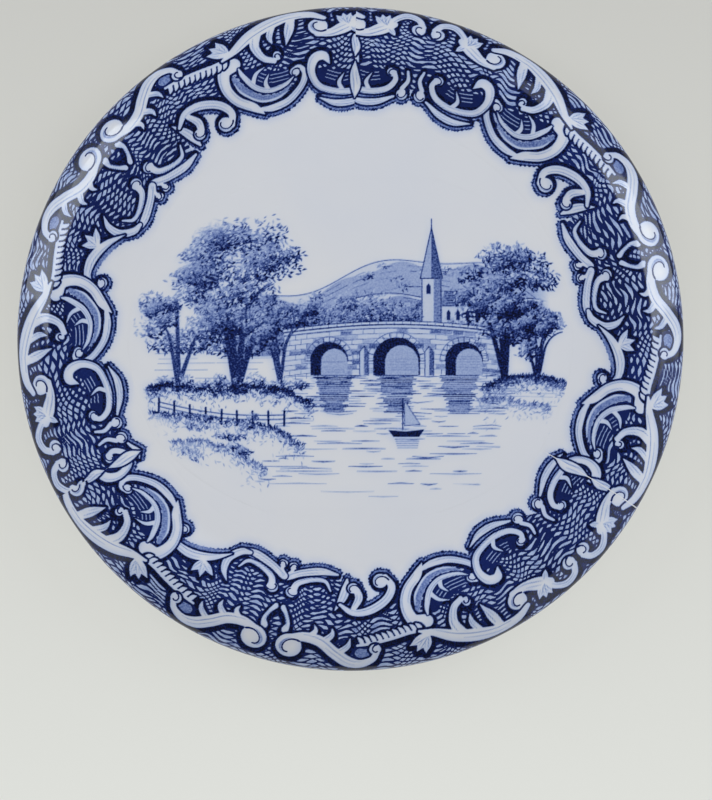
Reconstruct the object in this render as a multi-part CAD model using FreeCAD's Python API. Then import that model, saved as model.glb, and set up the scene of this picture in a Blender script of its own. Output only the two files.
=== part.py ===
"""A round souvenir plate of teapot-stand form, in glazed earthenware with an underglaze transfer print.

The plate is jiggered in one piece: a flat well, a raised rim that rolls over into a sloping shoulder and a
rounded edge, and a turned foot ring with a deep recess inside it. On that biscuit body lie the prints, laid
as cut pieces of tissue: one vignette in the well and three border strips, butted end to end round the rim.
A clear glaze covers the prints and the body, and stops short of the foot's ground standing edge.

Lengths are millimetres. +Z is up, the face looks up, and the origin is the centre of the standing plane.
+Y is the top of the picture.
"""

import FreeCAD
import Part
import math
import os

# --- overall form -----------------------------------------------------------------------------------------
plate_diameter = 155.0     # over the widest circle of the rim
overall_height = 17.1      # standing plane to the crest of the rim
rim_height = 9.5           # standing plane to the widest circle

# --- face --------------------------------------------------------------------------------------------------
shoulder_width = 11.7      # widest circle in to the circle along the crest
crest_radius = 12.0        # roundness of the crest in section
nose_radius = 3.3          # roundness of the rim's edge in section
well_depth = 2.4           # crest to well floor
well_wall_slope = 21.0     # degrees, the rise from the well floor to the crest
well_wall_sweep = 12.0     # hollow curve where the floor turns up into the rise

# --- underside and foot ---------------------------------------------------------------------------------
underside_slope = 5.0      # degrees, from the rim's edge down to the foot
foot_setback = 18.0        # widest circle in to the foot, where it leaves the underside
foot_taper = 8.0           # degrees, both walls of the foot narrow towards the standing edge
foot_width = 5.2           # across the foot ring at the standing plane, before its edges are rounded
foot_edge_radius = 1.1     # rounding of the standing edge
foot_tuck_radius = 1.8     # hollow where the foot meets the underside
floor_thickness = 6.9      # well floor to the recess under it
recess_radius = 3.5        # hollow where the foot turns into the recess ceiling

# --- glaze and prints -------------------------------------------------------------------------------------
glaze_thickness = 0.3      # clear coat all over
bare_height = 0.7          # the ground foot shows biscuit up to here
print_thickness = 0.1      # ink, with the skin of the body that it has sunk into

border_width = 18.5             # widest circle in to the circle from which the border's lobes hang
border_strips = ("right", "left", "lower")
border_first_join = -31.0       # degrees from +X to the first join between strips
border_join_gap = 0.35          # bare line at each join
lobes_per_strip = 9
lobe_diameter = 12.4
lobe_reach = 5.5                # how far a lobe stands in from that circle

vignette_margin = 1.5           # between the centre print's sides and the circle that the lobes reach
vignette_height = 79.0
vignette_shift_x = 0.7          # the centre print is laid by hand, a little off the middle
vignette_shift_y = -2.4

AXIS = FreeCAD.Vector(0, 0, 1)
ORIGIN = FreeCAD.Vector(0, 0, 0)
OVERSHOOT = 5.0                 # how far cutting shapes run past what they cut

rim_radius = plate_diameter / 2
border_inner_radius = rim_radius - border_width
lobe_tip_radius = border_inner_radius - lobe_reach


def polar(radius, degrees, height=0.0):
    """A point at a distance and a direction from the plate's axis."""
    turn = math.radians(degrees)
    return FreeCAD.Vector(radius * math.cos(turn), radius * math.sin(turn), height)


def crossing(first, second):
    """Where two lines meet in the section plane. Each line is a point and a direction in degrees."""
    (x1, z1, a1), (x2, z2, a2) = first, second
    ux, uz = math.cos(math.radians(a1)), math.sin(math.radians(a1))
    vx, vz = math.cos(math.radians(a2)), math.sin(math.radians(a2))
    along = ((x2 - x1) * vz - (z2 - z1) * vx) / (ux * vz - uz * vx)
    return x1 + along * ux, z1 + along * uz


def tangent_line(centre, radius, normal):
    """The line that touches a circle where its normal points, given in degrees."""
    x = centre[0] + radius * math.cos(math.radians(normal))
    z = centre[1] + radius * math.sin(math.radians(normal))
    return x, z, normal - 90.0


def outline():
    """Corners of the half section from the axis round to the axis, each with its rounding."""
    crest_centre = (rim_radius - shoulder_width, overall_height - crest_radius)
    nose_centre = (rim_radius - nose_radius, rim_height)
    across, down = nose_centre[0] - crest_centre[0], nose_centre[1] - crest_centre[1]
    shoulder_normal = math.degrees(
        math.atan2(down, across) + math.acos((crest_radius - nose_radius) / math.hypot(across, down))
    )
    well_height = overall_height - well_depth
    recess_height = well_height - floor_thickness
    foot_lean = 90.0 - foot_taper

    floor = (0.0, well_height, 0.0)
    well_wall = tangent_line(crest_centre, crest_radius, 90.0 + well_wall_slope)
    shoulder = tangent_line(crest_centre, crest_radius, shoulder_normal)
    underside = tangent_line(nose_centre, nose_radius, -90.0 + underside_slope)
    foot_top = crossing(underside, (rim_radius - foot_setback, 0.0, 90.0))
    foot_outside = (*foot_top, foot_lean)
    standing = (0.0, 0.0, 0.0)
    outer_edge = crossing(foot_outside, standing)
    foot_inside = (outer_edge[0] - foot_width, 0.0, 180.0 - foot_lean)
    ceiling = (0.0, recess_height, 0.0)
    return [
        (0.0, well_height, 0.0),
        (*crossing(floor, well_wall), well_wall_sweep),
        (*crossing(well_wall, shoulder), crest_radius),
        (*crossing(shoulder, underside), nose_radius),
        (*foot_top, foot_tuck_radius),
        (*outer_edge, foot_edge_radius),
        (*crossing(foot_inside, standing), foot_edge_radius),
        (*crossing(foot_inside, ceiling), recess_radius),
        (0.0, recess_height, 0.0),
    ]


def section(inset):
    """The half section as a face in the XZ plane, drawn in by an inset all round except at the axis."""
    corners = outline()
    lines = []
    for (x1, z1, _), (x2, z2, _) in zip(corners, corners[1:]):
        heading = math.atan2(z2 - z1, x2 - x1)
        lines.append((x1 + inset * math.sin(heading), z1 - inset * math.cos(heading), math.degrees(heading)))
    points = [(0.0, lines[0][1])]
    points += [crossing(before, after) for before, after in zip(lines, lines[1:])]
    points.append((0.0, lines[-1][1]))

    edges, start = [], FreeCAD.Vector(points[0][0], 0, points[0][1])
    for index in range(1, len(points) - 1):
        turn = math.radians(lines[index][2] - lines[index - 1][2])
        turn = math.atan2(math.sin(turn), math.cos(turn))
        hollow = turn > 0
        radius = corners[index][2] + (inset if hollow else -inset)
        corner = FreeCAD.Vector(points[index][0], 0, points[index][1])
        back = FreeCAD.Vector(points[index - 1][0], 0, points[index - 1][1]) - corner
        ahead = FreeCAD.Vector(points[index + 1][0], 0, points[index + 1][1]) - corner
        back.normalize()
        ahead.normalize()
        cut_back = radius * math.tan(abs(turn) / 2)
        bisector = back + ahead
        bisector.normalize()
        middle = corner + bisector * (radius / math.cos(turn / 2) - radius)
        arc_start, arc_end = corner + back * cut_back, corner + ahead * cut_back
        edges.append(Part.LineSegment(start, arc_start).toShape())
        edges.append(Part.Arc(arc_start, middle, arc_end).toShape())
        start = arc_end
    last = FreeCAD.Vector(points[-1][0], 0, points[-1][1])
    first = FreeCAD.Vector(points[0][0], 0, points[0][1])
    edges.append(Part.LineSegment(start, last).toShape())
    edges.append(Part.LineSegment(last, first).toShape())
    return Part.Face(Part.Wire(edges))


def window(near, far, low, high):
    """A rectangle in the section plane, for picking out a zone of it."""
    corners = [(near, low), (far, low), (far, high), (near, high), (near, low)]
    return Part.Face(Part.makePolygon([FreeCAD.Vector(x, 0, z) for x, z in corners]))


def turned(face):
    """The solid that a section face sweeps in a full turn about the axis."""
    return face.revolve(ORIGIN, AXIS, 360)


def foot_zone():
    """The zone of the section that holds the bare standing edge and nothing else."""
    outer, inner = outline()[5], outline()[6]
    return window(inner[0] - OVERSHOOT, outer[0] + OVERSHOOT, -OVERSHOOT, bare_height)


def glaze_section():
    """The clear coat in the section plane, in two runs that stop at the foot's bare edge."""
    return section(0.0).cut(section(glaze_thickness)).cut(foot_zone())


def film_section(near, far):
    """The print layer on the face, in the section plane, between two distances from the axis."""
    film = section(glaze_thickness - print_thickness).cut(section(glaze_thickness))
    return film.common(window(near, far, rim_height, overall_height)).Faces[0]


def make_body():
    """The fired biscuit: the whole form less its glaze, so the foot's ground edge keeps its full size."""
    return turned(section(0.0).cut(glaze_section()).Faces[0])


def well_opening():
    """The part of the well that the border leaves open: a tall prism, scalloped by the border's lobes."""
    low, high = rim_height, overall_height + OVERSHOOT
    opening = Part.makeCylinder(border_inner_radius, high - low, FreeCAD.Vector(0, 0, low), AXIS)
    count = lobes_per_strip * len(border_strips)
    lobes = []
    for index in range(count):
        turn = border_first_join + (index + 0.5) * 360.0 / count
        centre = polar(lobe_tip_radius + lobe_diameter / 2, turn, low)
        lobes.append(Part.makeCylinder(lobe_diameter / 2, high - low, centre, AXIS))
    return opening.cut(lobes)


def join_slit(turn):
    """A thin upright slab that runs out from the axis, and leaves the bare line between two strips."""
    slab = Part.makeBox(rim_radius + OVERSHOOT, border_join_gap, overall_height + OVERSHOOT)
    slab.translate(FreeCAD.Vector(0, -border_join_gap / 2, 0))
    slab.rotate(ORIGIN, AXIS, turn)
    return slab


def make_border_strips():
    """Equal lengths of border print, each a film on the body from the lobed inner edge to the widest circle."""
    spread = 360.0 / len(border_strips)
    joins = [border_first_join + index * spread for index in range(len(border_strips))]
    border = turned(film_section(lobe_tip_radius - OVERSHOOT, rim_radius))
    lengths = border.cut([well_opening()] + [join_slit(turn) for turn in joins]).Solids
    return [max(lengths, key=lambda length: length.CenterOfMass.dot(polar(1, turn + spread / 2)))
            for turn in joins]


def make_vignette():
    """The centre print: an oval film on the floor of the well, trimmed where it would meet the border."""
    centre = FreeCAD.Vector(vignette_shift_x, vignette_shift_y, rim_height)
    oval = Part.Ellipse(centre, lobe_tip_radius - vignette_margin, vignette_height / 2)
    prism = Part.Face(Part.Wire(oval.toShape())).extrude(AXIS * overall_height)
    film = turned(film_section(0.0, border_inner_radius))
    return film.common(prism).common(well_opening()).Solids[0]


def make_glazes(prints):
    """The clear coat in its two runs: over the face, rim and outside of the foot, and inside the foot ring."""
    recess, face = sorted(glaze_section().Faces, key=lambda run: run.CenterOfMass.z)
    return turned(face).cut(prints).Solids[0], turned(recess)


def main():
    strips = make_border_strips()
    vignette = make_vignette()
    face_glaze, back_glaze = make_glazes(strips + [vignette])
    pieces = {
        "biscuit_body": make_body(),
        "face_glaze": face_glaze,
        "back_glaze": back_glaze,
        "centre_print": vignette,
    }
    for name, strip in zip(border_strips, strips):
        pieces["border_print_" + name] = strip

    os.makedirs("parts", exist_ok=True)
    for name, shape in pieces.items():
        shape.exportStep(os.path.join("parts", name + ".step"))
        box = shape.optimalBoundingBox(False)
        print(f"{name}: solids {len(shape.Solids)}, valid {shape.isValid()}, {shape.Volume:.1f} mm3, "
              f"z {box.ZMin:.2f} to {box.ZMax:.2f}, {box.XLength:.1f} by {box.YLength:.1f}")


main()
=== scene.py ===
"""A blue-and-white souvenir plate of teapot-stand form: its fired body, clear glaze and underglaze prints.

The body and the glazes are turned from one section by a Geometry Nodes lathe. Each print is a thin film on
the glaze, whose points carry the ink: engraved line, washed tone and the blue that bleeds into the glaze.
Sizes inside the functions are in millimetres, and the meshes are in metres.
"""

import math
from collections import namedtuple

import bpy
import numpy as np
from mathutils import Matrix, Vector


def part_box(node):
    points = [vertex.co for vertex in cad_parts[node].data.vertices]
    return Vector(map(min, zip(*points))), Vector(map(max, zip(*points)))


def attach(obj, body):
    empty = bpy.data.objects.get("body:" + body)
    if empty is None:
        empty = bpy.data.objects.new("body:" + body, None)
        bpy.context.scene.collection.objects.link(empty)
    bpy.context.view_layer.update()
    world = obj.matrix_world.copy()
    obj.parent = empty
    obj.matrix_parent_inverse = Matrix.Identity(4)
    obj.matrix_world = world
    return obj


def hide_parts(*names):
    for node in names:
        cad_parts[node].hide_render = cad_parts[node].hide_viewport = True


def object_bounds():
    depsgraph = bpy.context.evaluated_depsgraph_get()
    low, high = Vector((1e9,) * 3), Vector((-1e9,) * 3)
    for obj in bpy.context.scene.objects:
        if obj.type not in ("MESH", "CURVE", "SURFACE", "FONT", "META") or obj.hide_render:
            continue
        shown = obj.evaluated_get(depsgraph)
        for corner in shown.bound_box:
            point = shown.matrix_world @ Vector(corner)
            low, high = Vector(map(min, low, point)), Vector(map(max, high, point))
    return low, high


bl_info = {
    "name": "Souvenir plate",
    "version": (1, 0, 0),
    "blender": (4, 5, 0),
    "location": "3D View > Sidebar > Plate",
    "description": "Turns a footed souvenir plate and lays its blue transfer prints",
    "category": "Add Mesh",
}

MM = 0.001
BODY = "root"
VIEW_WIDTH, VIEW_HEIGHT = 712, 800
SENSOR_WIDTH = 36.0

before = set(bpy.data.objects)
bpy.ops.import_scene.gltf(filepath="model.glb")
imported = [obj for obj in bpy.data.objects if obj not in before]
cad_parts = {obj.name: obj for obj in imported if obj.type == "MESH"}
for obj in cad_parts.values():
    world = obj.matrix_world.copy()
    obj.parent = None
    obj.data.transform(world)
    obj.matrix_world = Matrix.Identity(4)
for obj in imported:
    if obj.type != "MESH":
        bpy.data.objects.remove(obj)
cad_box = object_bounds()


# --- properties -----------------------------------------------------------------------------------

def length(name, size, description):
    """A length property, given in millimetres."""
    return bpy.props.FloatProperty(name=name, description=description, default=size * MM, unit="LENGTH",
                                   precision=5)


def angle(name, degrees, description):
    """An angle property, given in degrees."""
    return bpy.props.FloatProperty(name=name, description=description, default=math.radians(degrees),
                                   subtype="ANGLE")


def tint(name, colour, description):
    """A colour property, in linear light."""
    return bpy.props.FloatVectorProperty(name=name, description=description, default=colour, size=3,
                                         subtype="COLOR", min=0.0, max=1.0)


def amount(name, value, description):
    """A property that is a plain number."""
    return bpy.props.FloatProperty(name=name, description=description, default=value)


class PlateForm(bpy.types.PropertyGroup):
    """The plate's section, beyond the sizes that its solids give."""
    shoulder_width: length("Shoulder width", 11.7, "Widest circle in to the circle along the crest")
    crest_radius: length("Crest radius", 12.0, "Roundness of the crest in section")
    nose_radius: length("Nose radius", 3.3, "Roundness of the rim's edge in section")
    well_depth: length("Well depth", 2.4, "Crest to well floor")
    well_wall_slope: angle("Well wall slope", 21.0, "The rise from the well floor to the crest")
    well_wall_sweep: length("Well wall sweep", 12.0, "Hollow curve where the floor turns up")
    underside_slope: angle("Underside slope", 5.0, "From the rim's edge down to the foot")
    foot_setback: length("Foot setback", 18.0, "Widest circle in to the foot")
    foot_taper: angle("Foot taper", 8.0, "Both walls of the foot narrow towards the standing edge")
    foot_width: length("Foot width", 5.2, "Across the foot ring at the standing plane")
    foot_edge_radius: length("Foot edge radius", 1.1, "Rounding of the standing edge")
    foot_tuck_radius: length("Foot tuck radius", 1.8, "Hollow where the foot meets the underside")
    floor_thickness: length("Floor thickness", 6.9, "Well floor to the recess under it")
    recess_radius: length("Recess radius", 3.5, "Hollow where the foot turns into the recess ceiling")
    glaze_thickness: length("Glaze thickness", 0.3, "Clear coat all over")
    bare_height: length("Bare height", 0.7, "The ground foot shows biscuit up to here")
    turning_steps: bpy.props.IntProperty(name="Turning steps", default=384, min=24,
                                         description="Faces round the plate")


class PlateFinish(bpy.types.PropertyGroup):
    """Colours and gloss of the fired surfaces."""
    glaze_white: tint("Glaze white", (0.635, 0.635, 0.655), "The glazed body where nothing is printed")
    bleed_blue: tint("Bleed blue", (0.34, 0.43, 0.66), "Cobalt that bleeds into the glaze beside heavy ink")
    ink_pale: tint("Pale ink", (0.39, 0.45, 0.60), "The faintest wash")
    ink_light: tint("Light ink", (0.18, 0.24, 0.46), "Thin lines and pale washes")
    ink_mid: tint("Middle ink", (0.045, 0.085, 0.28), "The print's middle blue")
    ink_deep: tint("Deep ink", (0.005, 0.014, 0.1), "Well inked lines")
    ink_dark: tint("Dark ink", (0.001, 0.0025, 0.017), "Heavily inked grounds")
    biscuit: tint("Biscuit", (0.56, 0.52, 0.45), "The ground edge of the foot")
    gloss: amount("Gloss roughness", 0.09, "Roughness of the glaze")


class PlateStage(bpy.types.PropertyGroup):
    """Floor, lights and camera."""
    # The near and far floor colours paint light on one plain paper: brighter towards the camera's foot,
    # dimmer beyond the plate.
    floor_near_painted_bright: tint("Near floor", (0.74, 0.75, 0.71), "Pale floor towards the camera's foot")
    floor_far_painted_dim: tint("Far floor", (0.58, 0.58, 0.55), "Pale floor beyond the plate")
    floor_glow: amount("Floor glow", 0.75, "How much of the floor shows at its own brightness")
    camera_height: angle("Camera height", 86.0, "Elevation of the camera over the floor")
    camera_distance: length("Camera distance", 950.0, "From the camera to the plate")
    plate_share: amount("Plate share", 0.944, "Width of the plate over the width of the picture")
    aim: bpy.props.FloatVectorProperty(name="Aim", size=2, unit="LENGTH", precision=5,
                                       default=(1.3 * MM, -15.2 * MM),
                                       description="Where the camera looks, from the middle of the plate")


# --- the section ----------------------------------------------------------------------------------

def crossing(first, second):
    """Where two lines meet in the section plane. Each line is a point and a direction in radians."""
    (x1, z1, a1), (x2, z2, a2) = first, second
    ux, uz, vx, vz = math.cos(a1), math.sin(a1), math.cos(a2), math.sin(a2)
    along = ((x2 - x1) * vz - (z2 - z1) * vx) / (ux * vz - uz * vx)
    return x1 + along * ux, z1 + along * uz


def tangent_line(centre, radius, normal):
    """The line that touches a circle where its normal points."""
    x, z = centre[0] + radius * math.cos(normal), centre[1] + radius * math.sin(normal)
    return x, z, normal - math.pi / 2


def outline(form):
    """Corners of the half section from the axis round to the axis, each with its rounding."""
    rim_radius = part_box("face_glaze")[1].x
    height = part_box("face_glaze")[1].z
    rim_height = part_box("border_print_lower")[0].z
    crest = (rim_radius - form.shoulder_width, height - form.crest_radius)
    nose = (rim_radius - form.nose_radius, rim_height)
    across, down = nose[0] - crest[0], nose[1] - crest[1]
    lean = math.acos((form.crest_radius - form.nose_radius) / math.hypot(across, down))
    shoulder = tangent_line(crest, form.crest_radius, math.atan2(down, across) + lean)
    well_height = height - form.well_depth
    recess_height = well_height - form.floor_thickness
    foot_lean = math.pi / 2 - form.foot_taper

    floor, standing, ceiling = (0.0, well_height, 0.0), (0.0, 0.0, 0.0), (0.0, recess_height, 0.0)
    well_wall = tangent_line(crest, form.crest_radius, math.pi / 2 + form.well_wall_slope)
    underside = tangent_line(nose, form.nose_radius, -math.pi / 2 + form.underside_slope)
    foot_top = crossing(underside, (rim_radius - form.foot_setback, 0.0, math.pi / 2))
    foot_outside = (*foot_top, foot_lean)
    outer_edge = crossing(foot_outside, standing)
    foot_inside = (outer_edge[0] - form.foot_width, 0.0, math.pi - foot_lean)
    corners = [
        (0.0, well_height, 0.0),
        (*crossing(floor, well_wall), form.well_wall_sweep),
        (*crossing(well_wall, shoulder), form.crest_radius),
        (*crossing(shoulder, underside), form.nose_radius),
        (*foot_top, form.foot_tuck_radius),
        (*outer_edge, form.foot_edge_radius),
        (*crossing(foot_inside, standing), form.foot_edge_radius),
        (*crossing(foot_inside, ceiling), form.recess_radius),
        (0.0, recess_height, 0.0),
    ]
    return np.array(corners) / MM


def section(form, inset=0.0, arc_step=0.35, line_step=3.0):
    """Points along the half section, drawn in by an inset, with their outward normals."""
    corners = outline(form)
    run = np.diff(corners[:, :2], axis=0)
    heading = np.arctan2(run[:, 1], run[:, 0])
    lines = [(x + inset * math.sin(a), z - inset * math.cos(a), a) for (x, z, _), a in zip(corners, heading)]
    bends = [crossing(before, after) for before, after in zip(lines, lines[1:])]
    points, normals = [(0.0, lines[0][1])], [heading[0] + math.pi / 2]

    def straight(end, normal):
        """Carry the section on to a point, in even steps."""
        start = points[-1]
        count = max(1, math.ceil(math.dist(start, end) / line_step))
        for share in np.linspace(0, 1, count + 1)[1:]:
            points.append((start[0] + (end[0] - start[0]) * share,
                           start[1] + (end[1] - start[1]) * share))
            normals.append(normal)

    for index, bend in enumerate(bends):
        before, after = heading[index], heading[index + 1]
        turn = math.atan2(math.sin(after - before), math.cos(after - before))
        radius = corners[index + 1][2] + (inset if turn > 0 else -inset)
        side = math.copysign(1.0, turn)
        reach = radius * math.tan(abs(turn) / 2)
        start = (bend[0] - reach * math.cos(before), bend[1] - reach * math.sin(before))
        centre = (start[0] - side * radius * math.sin(before), start[1] + side * radius * math.cos(before))
        straight(start, before + math.pi / 2)
        count = max(3, math.ceil(radius * abs(turn) / arc_step))
        for share in np.linspace(0, 1, count + 1)[1:]:
            facing = before + turn * share
            points.append((centre[0] + side * radius * math.sin(facing),
                           centre[1] - side * radius * math.cos(facing)))
            normals.append(facing + math.pi / 2)
    straight((0.0, lines[-1][1]), heading[-1] + math.pi / 2)
    return np.array(points), np.column_stack([np.cos(normals), np.sin(normals)])


def cut_at_bare_edge(points, form):
    """Split a section where the glaze stops: the run before the foot's bare edge, and the run after it."""
    bare = form.bare_height / MM
    low = np.nonzero(points[:, 1] < bare)[0]
    first, last = low[0], low[-1]

    def at_height(above, below):
        """Where the run between two points crosses the bare edge."""
        share = (bare - below[1]) / (above[1] - below[1])
        return below + (above - below) * share

    outside = np.vstack([points[:first], at_height(points[first - 1], points[first])])
    inside = np.vstack([at_height(points[last + 1], points[last]), points[last + 1:]])
    edge = np.vstack([outside[-1:], points[first:last + 1], inside[:1]])
    return outside, edge, inside


# --- the lathe ------------------------------------------------------------------------------------

class Tree:
    """Builds a node tree. One method adds any node; sockets come back wrapped, so maths reads as maths."""

    def __init__(self, tree):
        self.tree = tree

    def node(self, kind, settings=None, /, output=0, **inputs):
        """Add a node with its settings, then its inputs. Underscores stand for the spaces in their names."""
        node = self.tree.nodes.new(kind)
        for name, value in (settings or {}).items():
            if name == "stops":
                self.set_stops(node.color_ramp, value)
            else:
                setattr(node, name, value)
        for name, value in inputs.items():
            wanted = name.replace("_", " ")
            index = int(name[1:]) if name[0] == "i" and name[1:].isdigit() else None
            socket = node.inputs[index] if index is not None else self.named(node, wanted)
            self.put(socket, value)
        return Link(self, node.outputs[output]) if node.outputs else None

    @staticmethod
    def named(node, wanted):
        """A node's live input of this name."""
        for socket in node.inputs:
            if socket.name == wanted and socket.enabled:
                return socket
        raise KeyError(f"{node.bl_idname} has no input {wanted}")

    @staticmethod
    def set_stops(ramp, stops):
        """Give a colour ramp its stops, as (position, colour)."""
        while len(ramp.elements) > 1:
            ramp.elements.remove(ramp.elements[-1])
        for index, (position, colour) in enumerate(stops):
            element = ramp.elements[0] if index == 0 else ramp.elements.new(position)
            element.position = position
            element.color = (*colour, 1.0)

    def put(self, socket, value):
        """Link a socket, or set its value."""
        if isinstance(value, Link):
            self.tree.links.new(value.socket, socket)
        else:
            socket.default_value = value


class Link:
    """A socket that can be used in an expression: each operator adds its Math node."""

    def __init__(self, tree, socket):
        self.tree, self.socket = tree, socket

    def math(self, operation, other=0.0, clamp=False):
        """This value with another, by a Math node."""
        settings = {"operation": operation, "use_clamp": clamp}
        return self.tree.node("ShaderNodeMath", settings, i0=self, i1=other)

    def flipped(self, operation, other):
        """The same with the other value first."""
        return self.tree.node("ShaderNodeMath", {"operation": operation}, i0=other, i1=self)

    def __add__(self, other):
        return self.math("ADD", other)

    def __sub__(self, other):
        return self.math("SUBTRACT", other)

    def __mul__(self, other):
        return self.math("MULTIPLY", other)

    def __truediv__(self, other):
        return self.math("DIVIDE", other)

    __radd__, __rmul__ = __add__, __mul__

    def __rsub__(self, other):
        return self.flipped("SUBTRACT", other)

    def out(self, name):
        """Another output of the same node."""
        return Link(self.tree, self.socket.node.outputs[name])


def lathe_tree():
    """Turns a section curve, drawn in the XZ plane, about the Z axis into a closed mesh."""
    group = bpy.data.node_groups.new("Lathe", "GeometryNodeTree")
    group.interface.new_socket("Section", in_out="INPUT", socket_type="NodeSocketGeometry")
    steps = group.interface.new_socket("Turning steps", in_out="INPUT", socket_type="NodeSocketInt")
    steps.default_value = 128
    weld = group.interface.new_socket("Weld distance", in_out="INPUT", socket_type="NodeSocketFloat")
    weld.default_value = 0.001 * MM
    group.interface.new_socket("Finish", in_out="INPUT", socket_type="NodeSocketMaterial")
    group.interface.new_socket("Mesh", in_out="OUTPUT", socket_type="NodeSocketGeometry")

    tree = Tree(group)
    given = tree.node("NodeGroupInput", output="Section")
    rows = tree.node("GeometryNodeAttributeDomainSize", {"component": "CURVE"}, output="Point Count",
                     Geometry=given)
    grid = tree.node("GeometryNodeMeshGrid", output="Mesh", Size_X=math.tau, Size_Y=1.0,
                     Vertices_X=given.out("Turning steps") + 1, Vertices_Y=rows)
    spot = tree.node("ShaderNodeSeparateXYZ", output="X", Vector=tree.node("GeometryNodeInputPosition"))
    row = ((spot.out("Y") + 0.5) * (rows - 1)).math("ROUND")
    point = tree.node("GeometryNodeSampleIndex", {"data_type": "FLOAT_VECTOR", "domain": "POINT"},
                      Geometry=given, Value=tree.node("GeometryNodeInputPosition"), Index=row)
    profile = tree.node("ShaderNodeSeparateXYZ", output="X", Vector=point)
    turned = tree.node("ShaderNodeCombineXYZ", X=profile * spot.math("COSINE"), Y=profile * spot.math("SINE"),
                       Z=profile.out("Z"))
    shaped = tree.node("GeometryNodeSetPosition", Geometry=grid, Position=turned)
    welded = tree.node("GeometryNodeMergeByDistance", Geometry=shaped, Distance=given.out("Weld distance"))
    outward = tree.node("GeometryNodeFlipFaces", Mesh=welded)
    smoothed = tree.node("GeometryNodeSetShadeSmooth", Geometry=outward)
    real = tree.node("GeometryNodeRealizeInstances", Geometry=smoothed)
    finished = tree.node("GeometryNodeSetMaterial", Geometry=real, Material=given.out("Finish"))
    tree.node("NodeGroupOutput", Mesh=finished)
    return group


def turn_solid(name, points, form, material):
    """A closed solid of revolution from section points in millimetres."""
    curve = bpy.data.curves.new(name, "CURVE")
    curve.dimensions = "3D"
    spline = curve.splines.new("POLY")
    spline.points.add(len(points) - 1)
    for knot, (radius, height) in zip(spline.points, points):
        knot.co = (radius * MM, 0.0, height * MM, 1.0)
    blank = bpy.data.objects.new(name + "_section", curve)
    bpy.context.scene.collection.objects.link(blank)
    group = bpy.data.node_groups.get("Lathe") or lathe_tree()
    modifier = blank.modifiers.new("Lathe", "NODES")
    modifier.node_group = group
    names = {item.name: item.identifier for item in group.interface.items_tree if item.in_out == "INPUT"}
    modifier[names["Turning steps"]] = form.turning_steps
    modifier[names["Finish"]] = material
    depsgraph = bpy.context.evaluated_depsgraph_get()
    mesh = bpy.data.meshes.new_from_object(blank.evaluated_get(depsgraph))
    blank.modifiers.remove(modifier)
    bpy.data.objects.remove(blank)
    mesh.name = name
    if not mesh.materials:
        mesh.materials.append(material)
    piece = bpy.data.objects.new(name, mesh)
    bpy.context.scene.collection.objects.link(piece)
    return piece


# --- painting: ink laid on a film's points --------------------------------------------------------

# A stroke's path and half widths, the line and tone it lays, and whether it is the outer edge of a shape.
Stroke = namedtuple("Stroke", "path half line tone edge", defaults=(False,))
SOFT_EDGE = .22     # a stroke's ink fades out over this
CRISP_EDGE = .2     # and a needle's line over this


class Drift:
    """A smooth random field in the plane: sine waves in random directions."""

    def __init__(self, rng, size, waves=7):
        heading = rng.uniform(0, math.tau, waves)
        pitch = size * rng.uniform(0.6, 1.6, waves)
        self.kx, self.ky = np.cos(heading) * math.tau / pitch, np.sin(heading) * math.tau / pitch
        self.phase = rng.uniform(0, math.tau, waves)

    def __call__(self, x, y):
        total = sum(np.sin(kx * x + ky * y + phase) for kx, ky, phase in zip(self.kx, self.ky, self.phase))
        return total / math.sqrt(len(self.phase) / 2)


class Film:
    """A grid of points on the glaze with the ink at each: engraved line and washed tone, from 0 to 1.

    Rows are in millimetres. A column times its row's width is in millimetres too.
    """

    def __init__(self, rows, cols, width=None):
        self.rows, self.cols, self.width = rows, cols, width
        self.line = np.zeros((len(rows), len(cols)))
        self.tone = np.zeros((len(rows), len(cols)))

    def keep(self, share):
        """Leave only this share of the ink at each point."""
        self.line *= share
        self.tone *= share


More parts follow.
